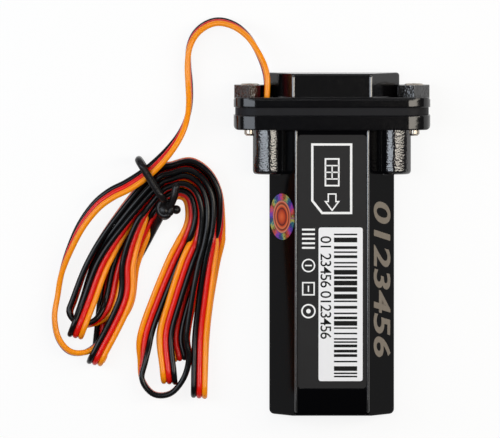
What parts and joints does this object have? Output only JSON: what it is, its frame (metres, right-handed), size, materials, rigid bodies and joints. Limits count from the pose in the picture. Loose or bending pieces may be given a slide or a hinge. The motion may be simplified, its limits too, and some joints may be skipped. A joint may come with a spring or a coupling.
{
  "type": "vehicle tracking device",
  "caption": "Hard-wired waterproof tracker: flanged black housing with a screwed end cap, gasket, label recess and a tied hank of three-wire ribbon cable.",
  "frame": {"origin": "middle of the housing's length and width, on its flat back at Z = 0", "axes": "+Z out of the label side, +Y towards the end cap, +X to the right of the label side"},
  "size_m": [0.0982, 0.1034, 0.015],
  "materials": {
    "case_plastic": "glossy black housing plastic with a fine orange-peel texture on the flanges",
    "gasket_rubber": "matte dark grey rubber",
    "seal_rubber": "matte black rubber",
    "screw_steel": "nickel-plated steel",
    "insert_brass": "turned brass",
    "label_film": "satin dark grey label film",
    "white_film": "white printed film",
    "seal_foil": "orange foil sticker with a rainbow rim",
    "board_laminate": "green glass-fibre laminate",
    "battery_foil": "pouch foil",
    "antenna_ceramic": "fired ceramic with a silver patch",
    "shield_metal": "tinned steel sheet",
    "chip_resin": "moulded resin",
    "light_resin": "clear resin",
    "card_plastic": "white card",
    "connector_plastic": "cream connector plastic",
    "wire_jacket": "three bonded PVC wires in black, red and orange",
    "tie_coat": "black plastic coating on a tie wire"
  },
  "bodies": {
    "housing": {"case_body": "case_plastic", "front_label": "label_film", "id_label": "white_film", "seal_sticker": "seal_foil", "thread_inserts": "insert_brass", "main_board": "board_laminate", "board_screws": "screw_steel", "battery": "battery_foil", "satellite_antenna": "antenna_ceramic", "radio_module": "shield_metal", "receiver_module": "shield_metal", "radio_antenna": "antenna_ceramic", "board_chips": "chip_resin", "power_parts": "chip_resin", "status_lights": "light_resin", "sim_holder": "shield_metal", "power_switch": "shield_metal", "board_socket": "connector_plastic"},
    "cap": {"end_cap": "case_plastic", "gasket": "gasket_rubber", "cable_seal": "seal_rubber", "inner_lead": "wire_jacket", "lead_plug": "connector_plastic", "cable_lead": "wire_jacket", "cable_hank": "wire_jacket", "cable_tie": "tie_coat"},
    "screw_l": {"screw_left": "screw_steel"},
    "screw_r": {"screw_right": "screw_steel"},
    "card": {"sim_card": "card_plastic"},
    "knob": {"switch_knob": "connector_plastic"}
  },
  "joints": [
    {"name": "cap_pull", "type": "slide", "parent": "housing", "child": "cap", "axis": [0, 1, 0], "range_m": [0, 0.04]},
    {"name": "screw_left_pull", "type": "slide", "parent": "cap", "child": "screw_l", "axis": [0, 1, 0], "range_m": [0, 0.006]},
    {"name": "screw_right_pull", "type": "slide", "parent": "cap", "child": "screw_r", "axis": [0, 1, 0], "range_m": [0, 0.006]},
    {"name": "card_pull", "type": "slide", "parent": "housing", "child": "card", "axis": [0, 1, 0], "range_m": [0, 0.008]},
    {"name": "switch_slide", "type": "slide", "parent": "housing", "child": "knob", "axis": [0, 1, 0], "range_m": [0, 0.0015]}
  ]
}
